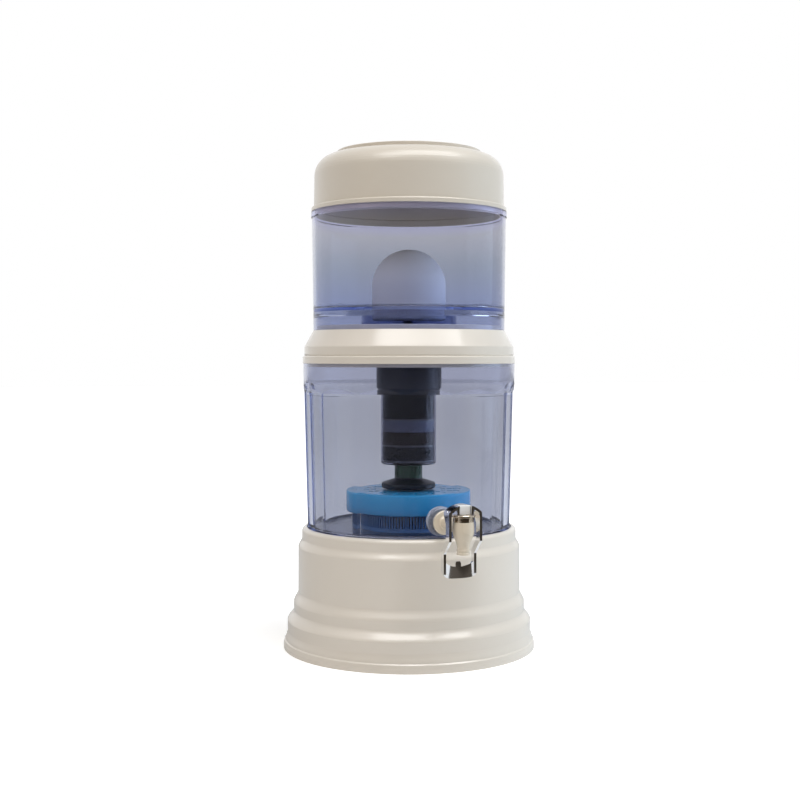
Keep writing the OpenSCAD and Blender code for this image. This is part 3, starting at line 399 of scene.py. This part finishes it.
dress(opaque("case_navy", (0.075, 0.18, 0.41), (0.10, 0.22, 0.47), 0.35), "mineral_case_body")
dress(grains("stones", (0.20, 0.17, 0.14), (0.34, 0.30, 0.25), 0.006), "mineral_stones")
case_blue = opaque("case_blue", (0.022, 0.32, 0.64), (0.05, 0.37, 0.68), 0.25, coat=0.3)
# Painted light and shade: the cap's blue is darkest at its foot and palest at its upper rim, where light from
# above falls.
tint_by_height(case_blue, [
    (0.150, (0.013, 0.185, 0.41)), (0.160, (0.020, 0.29, 0.59)), (0.168, (0.022, 0.32, 0.64)),
    (0.176, (0.035, 0.40, 0.74)),
], ("Colour",))
dress(case_blue, "mineral_case_lid")

# ---------------------------------------------------------------------------
# Middle cover: a cream moulding that closes the lower tank. The upper tank
# sits in it, and the cartridge hangs through its hole.
# ---------------------------------------------------------------------------
dress(cream, "middle_cover")

# ---------------------------------------------------------------------------
# Upper tank: the same tinted plastic as the lower one, round all the way up,
# with a well in its floor for the dome's foot.
# ---------------------------------------------------------------------------
dress(tank, "upper_tank")

# ---------------------------------------------------------------------------
# Dome filter: a ceramic shell, matt and porous, on a white plastic base. Its
# stem goes through the tank's floor, with a rubber washer above and a nut below.
# ---------------------------------------------------------------------------
dress(opaque("ceramic", (0.93, 0.92, 0.96), (0.86, 0.85, 0.89), 0.75, bump=0.25, grain=1500.0, drift=0.12),
      "ceramic_dome")
white = opaque("white_plastic", (0.92, 0.92, 0.91), (0.88, 0.88, 0.87), 0.24, coat=0.4)
dress(white, "dome_base", "dome_nut")
soft_white = opaque("white_rubber", (0.84, 0.84, 0.82), (0.78, 0.78, 0.76), 0.7, bump=0.08)
dress(soft_white, "dome_washer")

# ---------------------------------------------------------------------------
# Cartridge: a nearly black screw cap over a smoke-grey clear housing, sealed
# against the dome's nut by a grey rubber ring. Water leaves it by a green neck
# and a dark cone that spreads it.
# ---------------------------------------------------------------------------
dress(opaque("grey_rubber", (0.08, 0.08, 0.09), (0.12, 0.12, 0.13), 0.7), "cartridge_seal")
dress(opaque("cap_plastic", (0.012, 0.014, 0.026), (0.025, 0.028, 0.045), 0.35), "cartridge_cap")
dress(clear_plastic("housing_plastic", (0.44, 0.455, 0.56), 0.08, ior=1.3), "cartridge_housing")
dress(opaque("green_plastic", (0.002, 0.045, 0.020), (0.008, 0.065, 0.035), 0.25, coat=0.2), "outlet_neck")
dress(opaque("cone_plastic", (0.004, 0.006, 0.014), (0.02, 0.024, 0.035), 0.35), "diffuser_cone")

# ---------------------------------------------------------------------------
# Layers in the cartridge: activated carbon, light silica sand, brown mineral
# sand and dark ceramic balls, loose between pads of pressed felt.
# ---------------------------------------------------------------------------
dress(grains("carbon_grains", (0.004, 0.0043, 0.0055), (0.015, 0.0165, 0.02), 0.0016), "carbon_layer")
dress(grains("silica_grains", (0.30, 0.33, 0.42), (0.50, 0.54, 0.62), 0.0012), "silica_layer")
dress(grains("sand_grains", (0.035, 0.024, 0.02), (0.09, 0.06, 0.045), 0.0014), "mineral_sand_layer")
dress(grains("ball_grains", (0.008, 0.009, 0.014), (0.03, 0.033, 0.045), 0.004), "ceramic_ball_layer")
dress(grains("felt", (0.30, 0.30, 0.29), (0.40, 0.40, 0.38), 0.0008, bump=0.3), "cartridge_pads")

# ---------------------------------------------------------------------------
# Lid: a domed moulding with a raised disc, a little yellower than the stand.
# It lies loose on the upper tank's rim.
# ---------------------------------------------------------------------------
dress(opaque("lid_plastic", (0.69, 0.63, 0.545), (0.72, 0.67, 0.595), 0.30, coat=0.6, coat_roughness=0.24),
      "lid")

# ---------------------------------------------------------------------------
# Tap: a cream moulding whose threaded shank goes through the lower tank's wall,
# with a rubber ring on each side of it and a white nut inside. A bonnet of
# smoked chrome screws on the barrel.
# ---------------------------------------------------------------------------
dress(opaque("tap_cream", (0.73, 0.64, 0.51), (0.77, 0.70, 0.60), 0.26, coat=0.4), "tap_body")
dress(soft_white, "tap_outer_gasket", "tap_inner_gasket")
dress(white, "tap_nut")
dress(opaque("bonnet_chrome", (0.60, 0.52, 0.42), (0.52, 0.45, 0.37), 0.10, metallic=1.0, bump=0.01,
             drift=0.05), "tap_bonnet")

# ---------------------------------------------------------------------------
# Valve: a white plunger in the barrel, with a soft seal at its foot that shuts
# the spout.
# ---------------------------------------------------------------------------
dress(white, "plunger")
dress(soft_white, "seat_cup")

# ---------------------------------------------------------------------------
# Valve spring: steel wire wound round the plunger's stem, between its collar
# and the bonnet. Its top stays under the bonnet.
# ---------------------------------------------------------------------------
coil_r = 0.0054
wire_r = 0.00045
coil_turns = 5


def coil(name, centre, radius, wire, turns, low, high, per_turn=48, sides=16):
    """Wire wound round a post. At turn a and wire angle b a point lies at
    x = (radius + wire*cos(b))*cos(a), y = (radius + wire*cos(b))*sin(a),
    z = low + (high - low)*a/(2*pi*turns) + wire*sin(b). Each end is closed by a flat face."""
    rings = turns * per_turn
    a, b = np.meshgrid(np.arange(rings + 1) * 2 * math.pi / per_turn,
                       np.arange(sides) * 2 * math.pi / sides, indexing="ij")
    out = radius + wire * np.cos(b)
    points = np.stack([centre[0] + out * np.cos(a), centre[1] + out * np.sin(a),
                       low + (high - low) * a / (2 * math.pi * turns) + wire * np.sin(b)], axis=-1)
    number = np.arange((rings + 1) * sides).reshape(rings + 1, sides)
    beside = np.roll(number, -1, axis=1)
    walls = np.stack([number[:-1], number[1:], beside[1:], beside[:-1]], axis=-1).reshape(-1, 4)
    ends = [number[0].tolist(), number[-1, ::-1].tolist()]
    mesh = bpy.data.meshes.new(name)
    mesh.from_pydata(points.reshape(-1, 3).tolist(), [], walls.tolist() + ends)
    smooth = np.ones(len(mesh.polygons), bool)
    smooth[-len(ends):] = False
    mesh.polygons.foreach_set("use_smooth", smooth)
    mesh.update()
    wound = bpy.data.objects.new(name, mesh)
    bpy.context.collection.objects.link(wound)
    return wound


low_end, high_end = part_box("valve_spring")
middle = ((low_end.x + high_end.x) / 2, (low_end.y + high_end.y) / 2)
spring = coil("spring_wire", middle, coil_r, wire_r, coil_turns, low_end.z + wire_r, high_end.z - wire_r)
steel = opaque("steel", (0.62, 0.63, 0.65), (0.55, 0.56, 0.58), 0.28, metallic=1.0)
dress(steel, spring)
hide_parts("valve_spring")
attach(spring, "lower")
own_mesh(spring)

# ---------------------------------------------------------------------------
# Lever: a chromed casting, an arch over the barrel with a bare paddle below. A
# steel pin through the plunger's head is its hinge.
# ---------------------------------------------------------------------------
dress(opaque("chrome", (0.86, 0.87, 0.89), (0.8, 0.81, 0.83), 0.06, metallic=1.0, bump=0.01, drift=0.03),
      "lever")
dress(steel, "lever_pin")
